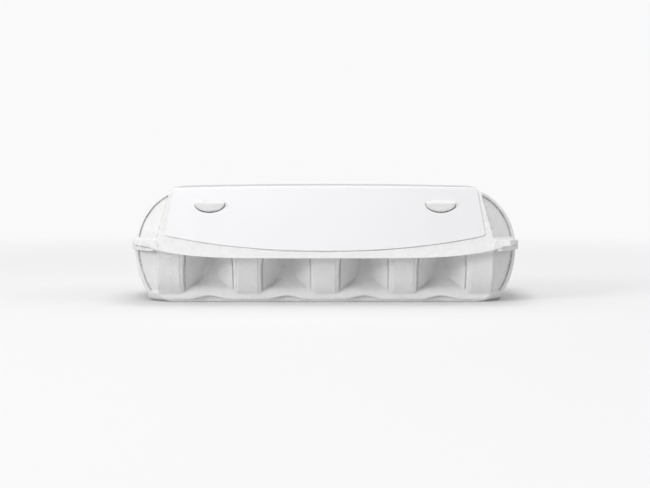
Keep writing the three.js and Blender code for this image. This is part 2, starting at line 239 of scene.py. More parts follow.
# Sampled boxes and the stretches in them that are sampled twice as finely
FINE_STEP = 0.6
SAMPLED_LENGTH = (-128.0, 128.0)
TRAY_DEPTHS = (-55.0, 55.0)
TRAY_FINE_DEPTHS = [(-55.0, -46.0)]
TRAY_HEIGHTS = (-2.0, 46.0)
TRAY_FINE_HEIGHTS = [(-0.8, 5.0), (32.6, 38.0)]
LID_FINE_LENGTHS = [(-129.0, -98.0), (97.0, 128.0)]
LID_DEPTHS = (-58.0, 55.0)
LID_FINE_DEPTHS = [(-58.0, -44.0)]
LID_HEIGHTS = (27.0, 77.0)
LID_FINE_HEIGHTS = [(28.0, 42.5)]
FLAP_LENGTH = (-95.0, 95.0)
FLAP_HEIGHTS = (0.0, 37.5)
FLAP_FINE_HEIGHTS = [(22.5, 33.0)]
FLAP_FINE_OUT = [(0.0, 5.0)]
BEHIND_FLAP = 1.2
BEFORE_KNOBS = 1.6

# Tones of the pulp, the painted shade in its hollows and grooves, and of the paper
PULP_DARK = (0.89, 0.89, 0.886, 1)
PULP_PALE = (0.934, 0.934, 0.93, 1)
FLECK_TONE = (0.94, 0.935, 0.925, 1)
PURE_WHITE = (1.0, 1.0, 1.0, 1)
PAINTED_HOLLOW_SHADE_REACH = 22.0
PAINTED_HOLLOW_SHADE_TONE = 0.58
PAINTED_CREVICE_SHADE_REACH = 1.7
PAINTED_CREVICE_SHADE_TONE = 0.45
PAPER_DARK = (0.868, 0.868, 0.883, 1)
PAPER_PALE = (0.888, 0.888, 0.903, 1)

# Floor in metres and tones: what it throws back, and what the camera sees of it, with a painted
# shade near the carton
FLOOR_REACH = 12.0
FLOOR_BOUNCE = (0.72, 0.72, 0.725, 1)
FLOOR_TONE = 0.725
FLOOR_LIFT = (0.19, 0.19, 0.193, 1)
FLOOR_FAR = (0.95, 0.95, 0.955, 1)
FLOOR_FADE = (0.25, 0.9)
PAINTED_CONTACT_SHADE_REACH = 105.0
PAINTED_CONTACT_SHADE_TONE = 0.3

# Studio: strength of the world, and each lamp's name, place, size in metres and power in watts
WORLD_LIGHT = 0.2
WORLD_SEEN = 0.95
WORLD_TONE = (1.0, 1.0, 1.005, 1)
LAMP_TARGET = (0, 0, 0.03)
LAMPS = (
    ("key", (-0.29, -1.07, 1.78), (0.8, 0.8), 17.5),
    ("side", (-2.2, -1.65, 1.1), (1.1, 0.9), 30.5),
    ("top", (0.1, 0.5, 1.35), (1.0, 0.8), 7.5),
    ("right", (2.0, -0.35, 1.0), (0.9, 0.9), 6.2),
)

# Camera in metres and degrees
CAMERA_ASIDE = -0.0002
CAMERA_DISTANCE = 1.0
CAMERA_HEIGHT = 0.092
CAMERA_TILT = 3.25
CAMERA_LENS = 82.4
CAMERA_SENSOR = 36.0

# Sizes that follow
HALF_CUP = CUP_PITCH / 2
HALF_FACE = CUP_FACE / 2
END_MIDDLE = (CUPS_ALONG - 1) * HALF_CUP
HALF_LENGTH = END_MIDDLE + END_CUP_REACH
HALF_DEPTH = CUPS_ACROSS * HALF_CUP
FACE_CORNER = END_MIDDLE + CORNER_FACE / 2
RIDGE_FOOT = FACE_CORNER + RIDGE_OVERHANG
TOTAL_HEIGHT = PARTING + LID_RISE
TRAY_RIM = PARTING - SEAT_GAP / 6
LID_FOOT = PARTING + SEAT_GAP / 6
SLOPE = math.tan(LEAN)
OBLIQUE_WALL = WALL / math.cos(LEAN)
FRONT_FOOT = HALF_DEPTH + SKIRT_CLEARANCE + OBLIQUE_WALL
LABEL_STAND = SEAT_GAP + LABEL_THICKNESS
REAR_CREASE = HALF_DEPTH + FLANGE_REACH + SEAT_GAP + CREASE_RADIUS
FLAP_INSIDE = WALL + SEAT_GAP + FLAP_THICKNESS
FLAP_MIDDLE = FLAP_INSIDE - FLAP_THICKNESS / 2
FLAP_CREASE_HEIGHT = TRAY_RIM + SEAT_GAP + CREASE_RADIUS
CROWN_EDGE = HALF_LENGTH - END_SEAT - END_RADIUS * (1 - END_CROWN_SHARE)
LABEL_MIDDLE = SEAT_GAP + LABEL_THICKNESS / 2
LABEL_TURN = math.pi / 2 - LEAN
LABEL_TANGENT = LABEL_FOLD * math.tan(LABEL_TURN / 2)

hinges = {joint["name"]: joint["pos_m"] for joint in frame["joints"]}
SHIFT_Y = hinges["lid_hinge"][1] / MM - REAR_CREASE


# Smooth fields, negative inside the material
def soft_max(a, b, blend):
    near = np.maximum(blend - np.abs(a - b), 0) / blend
    return np.maximum(a, b) + near * near * blend / 4


def soft_min(a, b, blend):
    return -soft_max(-a, -b, blend)


def ramp(value, low, high):
    share = np.clip((value - low) / (high - low), 0, 1)
    return share * share * (3 - 2 * share)


def mix(a, b, share):
    return a + (b - a) * share


def graded(low, high, step, zones=()):
    """Sample places from low to high, twice as close inside the zones."""
    places = [low]
    while places[-1] < high:
        near = any(start <= places[-1] < stop for start, stop in zones)
        places.append(places[-1] + (step / 2 if near else step))
    return np.array(places)


def sample(axes):
    return np.meshgrid(*axes, indexing="ij", sparse=True)


def even_out(field, axes):
    """Makes a field grow by about one for each millimetre near its surface."""
    slopes = np.gradient(field, *axes)
    steep = np.sqrt(slopes[0] ** 2 + slopes[1] ** 2 + slopes[2] ** 2)
    return field / np.clip(steep, 0.3, None)


def skin(field, axes):
    """Points and quads of the surface where a sampled field is zero."""
    inside = field < 0
    ends = (slice(None, -1), slice(1, None))
    some = np.zeros([count - 1 for count in field.shape], bool)
    every = ~some
    for i in range(2):
        for j in range(2):
            for k in range(2):
                corner = inside[ends[i], ends[j], ends[k]]
                some |= corner
                every &= corner
    cells = np.argwhere(some & ~every)
    number = np.full(some.shape, -1, np.int64)
    number[tuple(cells.T)] = np.arange(len(cells))
    total = np.zeros((len(cells), 3))
    count = np.zeros(len(cells))
    for axis in range(3):
        for i in range(2):
            for j in range(2):
                start = np.zeros(3, int)
                start[(axis + 1) % 3] = i
                start[(axis + 2) % 3] = j
                end = start.copy()
                end[axis] = 1
                before = field[tuple((cells + start).T)]
                after = field[tuple((cells + end).T)]
                crossed = (before < 0) != (after < 0)
                share = before[crossed] / (before[crossed] - after[crossed])
                total[crossed] += start + share[:, None] * (end - start)
                count += crossed
    places = cells + total / count[:, None]
    points = np.stack(
        [np.interp(places[:, k], np.arange(len(axes[k])), axes[k]) for k in range(3)],
        axis=1,
    )
    quads = []
    for axis in range(3):
        side, rise = (axis + 1) % 3, (axis + 2) % 3
        first = [slice(1, -1)] * 3
        first[axis] = slice(None, -1)
        second = list(first)
        second[axis] = slice(1, None)
        starts = inside[tuple(first)]
        changed = np.argwhere(starts != inside[tuple(second)])
        solid_first = starts[tuple(changed.T)]
        back_side = np.zeros(3, int)
        back_side[side] = 1
        back_rise = np.zeros(3, int)
        back_rise[rise] = 1
        last = changed + back_side + back_rise
        ring = [last - back_side - back_rise, last - back_rise, last, last - back_side]
        quad = np.stack([number[tuple(cell.T)] for cell in ring], axis=1)
        quad[~solid_first] = quad[~solid_first][:, ::-1]
        quads.append(quad)
    return points, np.concatenate(quads)


def in_place(points):
    """Points in metres from ones in millimetres of the carton's own frame."""
    return ((np.asarray(points) + np.array((0.0, SHIFT_Y, 0.0))) * MM).tolist()


def new_object(name, points, faces):
    mesh = bpy.data.meshes.new(name)
    mesh.from_pydata(points, [], faces)
    mesh.update()
    made = bpy.data.objects.new(name, mesh)
    bpy.context.scene.collection.objects.link(made)
    return made


def make_mesh(name, points, faces):
    """A smooth shaded object from points in millimetres and faces of four."""
    piece = new_object(name, in_place(points), np.asarray(faces).tolist())
    piece.data.polygons.foreach_set("use_smooth", np.ones(len(piece.data.polygons), bool))
    return piece


def apply_modifier(piece, kind, **settings):
    modifier = piece.modifiers.new(kind.title(), kind)
    for key, value in settings.items():
        setattr(modifier, key, value)
    with bpy.context.temp_override(object=piece, active_object=piece, selected_objects=[piece]):
        bpy.ops.object.modifier_apply(modifier=modifier.name)


def roughen(piece, waves):
    """Moves each point along its normal by noise; waves lists sizes and heights in millimetres."""
    mesh = piece.data
    count = len(mesh.vertices)
    places = np.zeros(count * 3)
    mesh.vertices.foreach_get("co", places)
    places = places.reshape(-1, 3)
    normals = np.array([normal.vector for normal in mesh.vertex_normals])
    shift = np.zeros(count)
    for size, height in waves:
        scaled = (places / (size * MM)).tolist()
        shift += height * MM * np.array([noise.noise(Vector(place)) for place in scaled])
    moved = places + normals * shift[:, None]
    moved[:, 2] = np.maximum(moved[:, 2], 0)
    mesh.vertices.foreach_set("co", moved.ravel())
    mesh.update()


# Tray
def drawn_in(z, reach):
    share = np.clip((PARTING - z) / PARTING, 0, 1)
    return reach * (1 - np.sqrt(1 - share * share))


def face_half(z, face):
    return np.minimum(face, (HALF_CUP - drawn_in(z, BOWL_REACH)) * FLOOR_FACE_SHARE)


def scoop_depth(z):
    """How far the back of a notch stands in from the rim, smoothed along its height."""
    depth = np.interp(z.ravel(), SCOOP_HEIGHTS, SCOOP_DEPTHS)
    for _ in range(SCOOP_SMOOTHING):
        depth[1:-1] = (depth[:-2] + 2 * depth[1:-1] + depth[2:]) / 4
    return depth.reshape(z.shape)


def cup_side(along, outward, z, rim, count):
    """A side of the tray: flat cup faces, banded edges and sunk flanks beside the notches."""
    from_middle = np.abs(np.mod(along + count * HALF_CUP, CUP_PITCH) - HALF_CUP)
    from_middle = np.where(np.abs(along) > (count - 1) * HALF_CUP, 0, from_middle)
    out = rim - drawn_in(z, BOWL_REACH)
    past_face = from_middle - face_half(z, HALF_FACE)
    band_width = CUP_BAND + CUP_BAND_WIDENING * ramp(z, *BAND_WIDENING_HEIGHTS)
    past_band = past_face - band_width
    open_share = ramp(z, *LINE_HEIGHTS)
    band = np.clip(past_face / band_width, 0, 1) * CUP_BAND_DEPTH
    step = ramp(past_band, *PANEL_STEP_SPAN) * PANEL_STEP
    edge_line = EDGE_LINE_DEPTH * np.exp(-(((past_face - LINE_OFFSET) / GUTTER_WIDTH) ** 2))
    gutter = GUTTER_DEPTH * np.exp(-(((past_band - LINE_OFFSET) / GUTTER_WIDTH) ** 2))
    lines = (step + edge_line + gutter) * open_share
    flank = out - band - lines - np.maximum(past_band, 0)
    gap_distance = HALF_CUP - from_middle
    bell = 1 - ramp(gap_distance, 0.0, ARCH_HALF_WIDTH)
    under = ramp(mix(FOOT_LINE, ARCH_HEIGHT, bell) - z, -ARCH_EDGE, ARCH_EDGE)
    recess = mix(FOOT_RECESS, ARCH_RECESS, bell) * under
    back = rim - scoop_depth(z)
    return outward - soft_max(back, flank, CUP_EDGE) + recess


def ridge_top(inward):
    climbed = ramp(inward, MOUTH_REACH, MOUTH_REACH + RIDGE_CLIMB)
    return mix(MOUTH_HEIGHT, RIDGE_HEIGHT, climbed)


def post_field(x, y, z):
    gap = np.clip(np.round((x - HALF_CUP) / CUP_PITCH), -2, 1) * CUP_PITCH + HALF_CUP
    across = np.abs(x - gap) ** POST_ROUND + np.abs(y) ** POST_ROUND
    distance = across ** (1 / POST_ROUND)
    share = np.clip(1 - z / POST_HEIGHT, 0, 1)
    foot = POST_FOOT_REACH * (1 - np.sqrt(1 - share * share))
    reach = POST_TOP_REACH + POST_TAPER * share + foot
    return soft_max(distance - reach, z - POST_HEIGHT, POST_EDGE), distance


def plate_outline(x, y, front_sum, start):
    """A flange round the ends and the rear, which starts beside the skirt."""
    out_x = HALF_LENGTH + FLANGE_REACH
    rear_sum = RIDGE_FOOT + HALF_DEPTH + FLANGE_REACH * math.sqrt(2)
    width = np.abs(x)
    front = np.maximum(-y - FRONT_FOOT, (width - y - front_sum) / math.sqrt(2))
    rear = np.maximum(y - HALF_DEPTH - FLANGE_REACH, (width + y - rear_sum) / math.sqrt(2))
    tip = (width - CORNER_REACH) * math.cos(CORNER_TURN) - (y + FRONT_FOOT) * math.sin(CORNER_TURN)
    outline = np.maximum(np.maximum(front, rear), np.maximum(width - out_x, tip))
    return np.maximum(outline, np.where(y < -HALF_DEPTH, start - width, -FLANGE_REACH))


def skirt_edge(x):
    share = np.minimum(np.abs(x) / SKIRT_HALF_LENGTH, 1)
    return PARTING - SKIRT_DROP * (1 - share ** SKIRT_CURVE)


def seam_drop(x, y):
    """How far the seam between the flanges follows the skirt down at the front corners."""
    near = ramp(-y, HALF_DEPTH - SEAM_START, HALF_DEPTH - SEAM_WHOLE)
    return np.minimum(PARTING - skirt_edge(x), SEAM_DROP) * near


def cup_edge_zones(count):
    """Stretches along a side that hold the edges of its cup faces."""
    zones = []
    for cup in range(count):
        middle = (cup - (count - 1) / 2) * CUP_PITCH
        for side in (-1, 1):
            edge = middle + side * (HALF_FACE + CUP_BAND * EDGE_ZONE_SHARE)
            zones.append((edge - EDGE_ZONE, edge + EDGE_ZONE))
    return zones


def build_tray(step):
    axes = (
        graded(*SAMPLED_LENGTH, step, cup_edge_zones(CUPS_ALONG)),
        graded(*TRAY_DEPTHS, step, cup_edge_zones(CUPS_ACROSS) + TRAY_FINE_DEPTHS),
        graded(*TRAY_HEIGHTS, step, TRAY_FINE_HEIGHTS),
    )
    x, y, z = sample(axes)
    across, deep = np.abs(x), np.abs(y)
    out = HALF_DEPTH - drawn_in(z, BOWL_REACH)
    end_out = HALF_LENGTH - drawn_in(z, BOWL_REACH)
    body = soft_max(
        cup_side(x, deep, z, HALF_DEPTH, CUPS_ALONG),
        cup_side(y, across, z, HALF_LENGTH, CUPS_ACROSS),
        CUP_EDGE,
    )
    rim_band = mix(RIM_BAND_FOOT, RIM_BAND_TOP, ramp(z, RIM_BAND_START, PARTING))
    panel = ramp(end_out - across, rim_band, rim_band + RIM_BAND_EDGE)
    panel = panel * ramp(out - deep, *TRAY_PANEL_SIDE) * ramp(z, *TRAY_PANEL_FOOT)
    chamfer = (across + deep - END_MIDDLE - face_half(z, CORNER_FACE / 2) - out) / math.sqrt(2)
    body = soft_max(body, chamfer + CORNER_PANEL_DEPTH * panel, CUP_EDGE)
    gap_distance = np.where(
        across > END_MIDDLE,
        across - END_MIDDLE + HALF_CUP,
        np.abs(np.mod(x + END_MIDDLE, CUP_PITCH) - HALF_CUP),
    )
    reach = drawn_in(z, RIDGE_REACH)
    cross = soft_max(gap_distance - reach, z - ridge_top(HALF_DEPTH - deep), RIDGE_EDGE)
    lengthwise = soft_max(deep - reach, z - ridge_top(HALF_LENGTH - across), RIDGE_EDGE)
    posts, post_distance = post_field(x, y, z)
    hollow = soft_min(soft_min(cross, lengthwise, HOLLOW_BLEND), posts, HOLLOW_BLEND)
    body = soft_max(body, -hollow, HOLLOW_EDGE)
    body = soft_max(body, -z, CUP_FOOT_EDGE)
    body = even_out(body, axes)
    shell = np.maximum(body, -body - WALL)
    top = np.minimum(z - TRAY_RIM, post_distance - POST_ZONE)
    shell = soft_max(shell, top, RIM_EDGE)
    front_sum = RIDGE_FOOT + FRONT_FOOT + FLANGE_REACH * math.sqrt(2)
    outline = plate_outline(x, y, front_sum, RIDGE_FOOT + 2 * SEAT_GAP)
    height = z - TRAY_RIM
    faces = np.maximum(height + seam_drop(x, y), -height - FLANGE_THICKNESS)
    flange = soft_max(outline, faces, FLANGE_EDGE)
    flange = np.maximum(flange, -body - WALL / 2)
    shell = soft_min(shell, flange, TRAY_FLANGE_FILLET)
    return skin(shell, axes)


# Lid
def wall_coordinates(y, z):
    """Distance up the front wall's plane and out from it."""
    back = y + FRONT_FOOT
    up = z - PARTING
    along = back * math.sin(LEAN) + up * math.cos(LEAN)
    out = up * math.sin(LEAN) - back * math.cos(LEAN)
    return along, out


def half_moon(x, along, growth):
    """A knob's outline on the wall as a field; grown to a slot, it hangs lower than it widens."""
    width = (np.abs(x) - KNOB_SPACING / 2) / (KNOB_WIDTH / 2 + growth)
    rise = along - KNOB_RISE
    drop = KNOB_HEIGHT - KNOB_CROWN + growth + max(growth, 0) * KNOB_SAG
    crown = KNOB_CROWN + growth
    height = np.maximum(np.where(rise < 0, drop, crown), KNOB_LEAST_HEIGHT)
    past = np.sqrt(width ** 2 + (rise / height) ** 2) - 1
    return past * np.minimum(height, KNOB_FIELD_LIMIT)


def crown_height(x):
    return TOTAL_HEIGHT - CROWN_DROOP * (x / CROWN_EDGE) ** 2


def lid_body(x, y, z):
    across = np.abs(x)
    rise = z - PARTING
    front = (-y - FRONT_FOOT + rise * SLOPE) * math.cos(LEAN)
    rear = (y - HALF_DEPTH + rise * SLOPE) * math.cos(LEAN)
    centre_x = HALF_LENGTH - END_SEAT - END_RADIUS
    up = np.maximum(rise - END_RISE, 0)
    end = np.sqrt(np.maximum(across - centre_x, 0) ** 2 + up ** 2) - END_RADIUS
    ridge = RIDGE_FOOT - RIDGE_TAPER * rise / LID_RISE
    lean = math.sqrt(2 + (SLOPE + RIDGE_TAPER / LID_RISE) ** 2)
    panel = ramp(-end, *LID_PANEL_BORDER) * ramp(z - LID_FOOT, *LID_PANEL_FOOT)
    front_panel = panel * CORNER_PANEL_DEPTH * ramp(-front, *LID_PANEL_SIDE)
    rear_panel = panel * CORNER_PANEL_DEPTH * ramp(-rear, *LID_PANEL_SIDE)
    front_cut = (across - y - ridge - FRONT_FOOT + rise * SLOPE) / lean + front_panel
    rear_cut = (across + y - ridge - HALF_DEPTH + rise * SLOPE) / lean + rear_panel
    crown = z - crown_height(x)
    body = soft_max(soft_max(front, rear, LID_EDGE), crown, LID_EDGE)
    corners = soft_max(front_cut, rear_cut, LID_EDGE)
    return soft_max(soft_max(body, end, LID_EDGE), corners, RIDGE_LINE)


def build_lid(step):
    axes = (
        graded(*SAMPLED_LENGTH, step, LID_FINE_LENGTHS),
        graded(*LID_DEPTHS, step, LID_FINE_DEPTHS),
        graded(*LID_HEIGHTS, step, LID_FINE_HEIGHTS),
    )
    x, y, z = sample(axes)
    body = even_out(lid_body(x, y, z), axes)
    shell = np.maximum(body, -body - WALL)
    front_sum = RIDGE_FOOT + FRONT_FOOT + FLANGE_CORNER
    corner = ramp(-y, *WEDGE_DEPTHS) * ramp(HALF_LENGTH - np.abs(x), *WEDGE_LENGTHS)
    height = z - LID_FOOT
    lean = CORNER_LEAN * corner * np.maximum(height - CORNER_LEAN_START, 0)
    outline = plate_outline(x, y, front_sum, FACE_CORNER) + lean
    top = FLANGE_THICKNESS + CORNER_WEDGE * corner
    drop = seam_drop(x, y)
    flange = soft_max(outline, np.maximum(height - top, -height - drop), FLANGE_EDGE)
    flange = np.maximum(flange, -body - WALL / 2)
    shell = soft_min(shell, flange, LID_FLANGE_FILLET)
    skirt = np.maximum(skirt_edge(x) - z, y + HALF_DEPTH - SKIRT_CLEARANCE / 2)
    skirt = np.maximum(skirt, np.abs(x) - RIDGE_FOOT)
    shell = soft_max(shell, np.minimum(LID_FOOT - drop - z, skirt), SKIRT_EDGE)
    along, out = wall_coordinates(y, z)
    slot = np.maximum(half_moon(x, along, SLOT_CLEARANCE), np.abs(out) - SLOT_REACH)
    shell = soft_max(shell, -slot, SLOT_EDGE)
    return skin(shell, axes)


# Lock flap, in the plane of the lid's front wall
def build_flap(step):
    middles = (-KNOB_SPACING / 2, KNOB_SPACING / 2)
    knobs = [(middle - KNOB_ZONE, middle + KNOB_ZONE) for middle in middles]
    inner = -FLAP_INSIDE - BEHIND_FLAP
    outer = LABEL_STAND + KNOB_PROUD + BEFORE_KNOBS
    axes = (
        graded(*FLAP_LENGTH, step, knobs),
        graded(*FLAP_HEIGHTS, step, FLAP_FINE_HEIGHTS),
        graded(inner, outer, step, FLAP_FINE_OUT),
    )
    x, along, out = sample(axes)
    top = (LID_RISE - FLAP_HEADROOM) / math.cos(LEAN) - OBLIQUE_WALL
    foot = (FLAP_CREASE_HEIGHT + CREASE_RADIUS + SEAT_GAP - PARTING) / math.cos(LEAN)
    foot += FLAP_INSIDE * math.tan(LEAN)
    side = np.abs(x) - FLAP_HALF_LENGTH + FLAP_TAPER * along / top
    round_x = np.maximum(side + FLAP_CORNER, 0)
    round_along = np.maximum(along - top + FLAP_CORNER, 0)
    corner = np.sqrt(round_x ** 2 + round_along ** 2)
    outline = np.maximum(corner - FLAP_CORNER, np.maximum(side, along - top))
    outline = np.maximum(outline, foot - along)
    sheet = soft_max(outline, np.abs(out + FLAP_MIDDLE) - FLAP_THICKNESS / 2, FLAP_EDGE)
    rise = along - KNOB_RISE
    proud = np.interp(
        rise.ravel(),
        (KNOB_CROWN - KNOB_HEIGHT, KNOB_BROW, KNOB_CROWN),
        (KNOB_FOOT_PROUD, KNOB_PROUD, KNOB_TOP_PROUD),
    ).reshape(rise.shape)
    face = out - LABEL_STAND - proud
    knob = soft_max(half_moon(x, along, 0.0), face, KNOB_EDGE)
    knob = soft_max(knob, -out - FLAP_MIDDLE, KNOB_BACK_EDGE)
    hollow = soft_max(half_moon(x, along, -WALL), face + WALL, KNOB_HOLLOW_EDGE)
    field = soft_max(soft_min(sheet, knob, KNOB_FILLET), -hollow, KNOB_HOLLOW_RIM)
    points, quads = skin(field, axes)
    back = points[:, 1] * math.sin(LEAN) - points[:, 2] * math.cos(LEAN)
    up = points[:, 1] * math.cos(LEAN) + points[:, 2] * math.sin(LEAN)
    placed = np.stack([points[:, 0], back - FRONT_FOOT, PARTING + up], axis=1)
    return placed, quads


# Thin sheets
def thicken(grid, thickness):
    """Closed mesh of a sheet from a grid of points on its middle."""
    rows, columns = grid.shape[:2]
    down = np.gradient(grid, axis=0)
    across = np.gradient(grid, axis=1)
    normal = np.cross(across, down)
    normal /= np.linalg.norm(normal, axis=2, keepdims=True)
    points = np.concatenate([
        (grid + normal * thickness / 2).reshape(-1, 3),
        (grid - normal * thickness / 2).reshape(-1, 3),
    ])
    place = np.arange(rows * columns).reshape(rows, columns)
    faces = np.stack([place[:-1, :-1], place[1:, :-1], place[1:, 1:], place[:-1, 1:]], axis=2)
    front = faces.reshape(-1, 4)
    back = front[:, ::-1] + rows * columns
    border = np.concatenate([place[:, 0], place[-1, 1:], place[-2::-1, -1], place[0, -2:0:-1]])
    following = np.roll(border, -1)
    rim = np.stack([following, border, border + rows * columns, following + rows * columns], axis=1)
    return points, np.concatenate([front, back, rim])


def label_slope(side, foot_y, shares):
    """Rows of one slope of the label, from its lower edge up to the fold."""
    rows = []
    for level in np.linspace(0, 1, LABEL_ROWS) ** LABEL_ROW_CROWDING:
        half = mix(LABEL_FOOT_HALF, LABEL_TOP_HALF, level)
        near = max(0.0, LABEL_CORNER - level * LABEL_CORNER_SPEED)
        half -= LABEL_CORNER - math.sqrt(max(LABEL_CORNER ** 2 - near ** 2, 0.0))
        x = shares * half
        foot = LABEL_REAR_HEIGHT
        if side < 0:
            curve = (np.abs(x) / LABEL_FOOT_HALF) ** LABEL_CURVE
            foot = mix(LABEL_MID_HEIGHT, LABEL_CORNER_HEIGHT, curve)
        stop = crown_height(x) + LABEL_MIDDLE - LABEL_TANGENT * math.cos(LEAN)
        z = mix(foot, stop, level)
        y = side * (foot_y - (z - PARTING) * SLOPE)
        rows.append(np.stack([x, y, z], axis=1))
    return rows


def label_fold(side, edge, x, top):
    """Rows of the rounded fold between a slope and the top."""
    rows = []
    for step in range(1, LABEL_FOLD_STEPS):
        angle = LABEL_TURN * (1 - step / LABEL_FOLD_STEPS)
        y = edge - LABEL_TANGENT + LABEL_FOLD * math.sin(angle)
        z = top - LABEL_FOLD + LABEL_FOLD * math.cos(angle)
        rows.append(np.stack([x, side * y, z], axis=1))
    return rows


def build_label():
    shares = np.linspace(-1, 1, LABEL_COLUMNS)
    shares = np.sign(shares) * (1 - (1 - np.abs(shares)) ** LABEL_COLUMN_CROWDING)
    x = shares * LABEL_TOP_HALF
    top = crown_height(x) + LABEL_MIDDLE
    halves = []
    edges = []
    for side, foot in ((-1, FRONT_FOOT), (1, HALF_DEPTH)):
        foot_y = foot + LABEL_MIDDLE / math.cos(LEAN)
        edge = foot_y - (top - PARTING) * SLOPE
        halves.append(label_slope(side, foot_y, shares) + label_fold(side, edge, x, top))
        edges.append(side * (edge - LABEL_TANGENT))
    front, rear = halves
    flat = []
    for share in np.linspace(0, 1, LABEL_TOP_ROWS):
        flat.append(np.stack([x, mix(*edges, share), top], axis=1))
    return thicken(np.array(front + flat + rear[::-1]), LABEL_THICKNESS)


def slot_cutter(side, growth, foot_growth):
    """A half moon prism through the front wall, round one knob."""
    points = []
    turns = np.linspace(0, 2 * math.pi, CUTTER_POINTS, endpoint=False)
    for out in CUTTER_SPAN:
        for turn in turns:
            lower = KNOB_HEIGHT - KNOB_CROWN + foot_growth
            height = lower if turn > math.pi else KNOB_CROWN + growth
            along = KNOB_RISE + height * math.sin(turn)
            x = side * KNOB_SPACING / 2 + (KNOB_WIDTH / 2 + growth) * math.cos(turn)
            back = along * math.sin(LEAN) - out * math.cos(LEAN)
            up = along * math.cos(LEAN) + out * math.sin(LEAN)
            points.append((x, back - FRONT_FOOT, PARTING + up))
    count = CUTTER_POINTS
    faces = [tuple(range(count))[::-1], tuple(range(count, 2 * count))]
    for k in range(count):
        after = (k + 1) % count
        faces.append((k, after, after + count, k + count))
    return points, faces


def cut_label_slots(piece):
    for side in (-1, 1):
        points, faces = slot_cutter(side, SLOT_CLEARANCE / 2, LABEL_SLOT_DROP)
        cutter = new_object("slot_cutter", in_place(points), faces)
        mesh = cutter.data
        apply_modifier(piece, "BOOLEAN", object=cutter, operation="DIFFERENCE", solver="EXACT")
        bpy.data.objects.remove(cutter)
        bpy.data.meshes.remove(mesh)


def crease(name, half, path, thickness):
    columns = int(half * 2 / CREASE_STEP)
    x = np.linspace(-half, half, columns)
    rows = [np.stack([x, np.full(columns, y), np.full(columns, z)], axis=1) for y, z in path]
    points, faces = thicken(np.array(rows), thickness)
    return make_mesh(name, points, faces)


def curve_through(points, count):
    """Evenly spaced points on a smooth line through the given ones."""
    given = np.array(points, float)
    at = np.concatenate([[0], np.cumsum(np.linalg.norm(np.diff(given, axis=0), axis=1))])
    even = np.linspace(0, at[-1], count)
    line = np.stack([np.interp(even, at, given[:, k]) for k in range(2)], axis=1)
    for _ in range(LINE_SMOOTHING):
        line[1:-1] = (line[:-2] + 2 * line[1:-1] + line[2:]) / 4
    return line


pulp_step = FINE_STEP
tray = make_mesh("tray_pulp", *build_tray(pulp_step))
lid = make_mesh("lid_pulp", *build_lid(pulp_step))
flap = make_mesh("lock_flap_pulp", *build_flap(FINE_STEP))
for pulp_piece in (tray, lid, flap):
    roughen(pulp_piece, PULP_WAVES)

label = make_mesh("label_paper", *build_label())
cut_label_slots(label)

rear_line = curve_through(REAR_CREASE_LINE, REAR_CREASE_ROWS)
rear_crease = crease("rear_crease_pulp", REAR_CREASE_HALF, rear_line, REAR_CREASE_THICKNESS)
flap_y = hinges["flap_hinge"][1] / MM - SHIFT_Y
flap_places = [(flap_y + back, height) for back, height in FLAP_CREASE_LINE]
flap_line = curve_through(flap_places, FLAP_CREASE_ROWS)
flap_crease = crease("flap_crease_pulp", FLAP_CREASE_HALF, flap_line, FLAP_CREASE_THICKNESS)


# Materials
def node(tree, kind, **inputs):
    made = tree.nodes.new(kind)
    for key, value in inputs.items():
        made.inputs[key.replace("_", " ")].default_value = value
    return made


def new_material(name):
    material = bpy.data.materials.new(name)
    material.use_nodes = True
    return material, material.node_tree, material.node_tree.nodes["Principled BSDF"]


def math_node(tree, operation, first, second):
    made = tree.nodes.new("ShaderNodeMath")
    made.operation = operation
    tree.links.new(first, made.inputs[0])
    tree.links.new(second, made.inputs[1])
    return made.outputs["Value"]


def map_node(tree, value, low, high):
    """Maps a value between 0 and 1 to one between low and high."""
    made = node(tree, "ShaderNodeMapRange", To_Min=low, To_Max=high)
    tree.links.new(value, made.inputs["Value"])
    return made.outputs["Result"]


def tone_node(tree, value, first, second):
    """A colour between two that are each given with their place on the ramp."""
    made = tree.nodes.new("ShaderNodeValToRGB")
    for element, (place, colour) in zip(made.color_ramp.elements, (first, second)):
        element.position = place
        element.color = colour
    tree.links.new(value, made.inputs["Fac"])
    return made.outputs["Color"]


def multiply_node(tree, first, second):
    made = tree.nodes.new("ShaderNodeMix")
    made.data_type = "RGBA"
    made.blend_type = "MULTIPLY"
    made.inputs["Factor"].default_value = 1.0
    tree.links.new(first, made.inputs["A"])
    tree.links.new(second, made.inputs["B"])
    return made.outputs["Result"]


def choose_shader(tree, share, first, second):
    made = tree.nodes.new("ShaderNodeMixShader")
    tree.links.new(share, made.inputs["Fac"])
    tree.links.new(first, made.inputs[1])
    tree.links.new(second, made.inputs[2])
    return made.outputs["Shader"]


def painted_closed_in_shade(tree, reach, tone):
    """Painted shade: falls from 1 to tone where the piece itself closes in within the reach,
    darkening the colour there.
    """
    shade = node(tree, "ShaderNodeAmbientOcclusion", Distance=reach * MM)
    shade.only_local = True
    return map_node(tree, shade.outputs["AO"], tone, 1.0)


